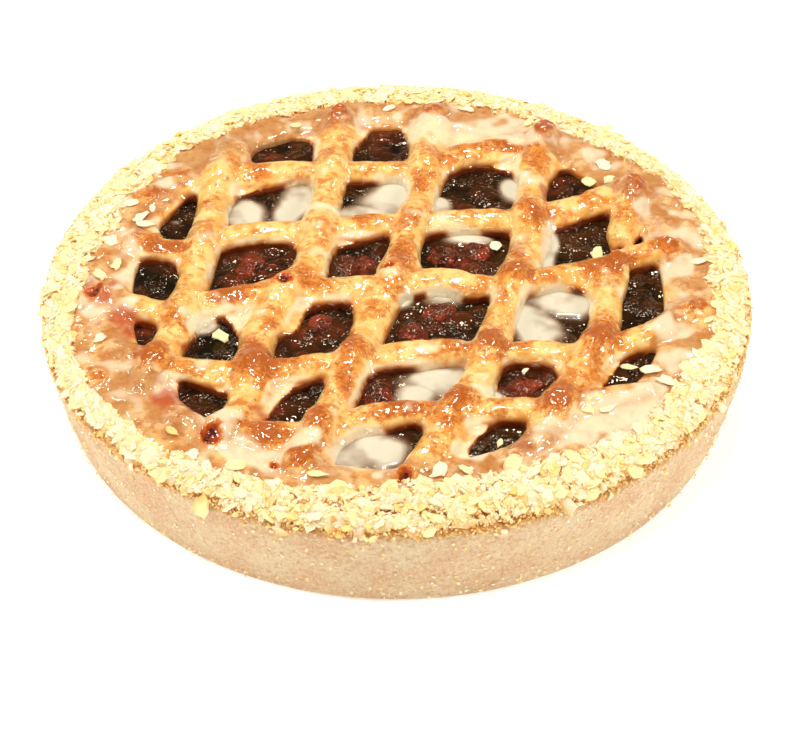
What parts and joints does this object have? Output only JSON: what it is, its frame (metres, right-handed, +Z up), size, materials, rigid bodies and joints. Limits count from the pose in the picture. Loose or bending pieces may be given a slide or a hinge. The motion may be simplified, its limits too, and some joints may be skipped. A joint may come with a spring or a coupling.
{
  "type": "linzer torte",
  "caption": "Round shortcrust torte with a woven lattice of rolled dough over cherry jam and a band of chopped almonds round its shoulder.",
  "frame": {"origin": "middle of the flat underside, where the torte stands", "axes": "+Z up; -Y towards the front of the picture; +X to its right"},
  "size_m": [0.2647, 0.2649, 0.0465],
  "materials": {
    "crust": "sandy baked shortcrust",
    "almond": "pale chopped almond, lightly toasted",
    "lattice": "golden baked dough under a glossy glaze",
    "jam": "very dark red jam, glossy",
    "cherry": "cooked cherry skin, glossy",
    "glaze": "set milky glaze, glossy"
  },
  "bodies": {
    "root": {"crust": "crust", "filling": "jam", "cherry_1": "cherry", "cherry_2": "cherry", "cherry_3": "cherry", "cherry_4": "cherry", "cherry_5": "cherry", "cherry_6": "cherry", "cherry_7": "cherry", "cherry_8": "cherry", "cherry_9": "cherry", "strand_a1": "lattice", "strand_a2": "lattice", "strand_a3": "lattice", "strand_a4": "lattice", "strand_a5": "lattice", "strand_a6": "lattice", "strand_b1": "lattice", "strand_b2": "lattice", "strand_b3": "lattice", "strand_b4": "lattice", "strand_b5": "lattice"}
  },
  "joints": []
}
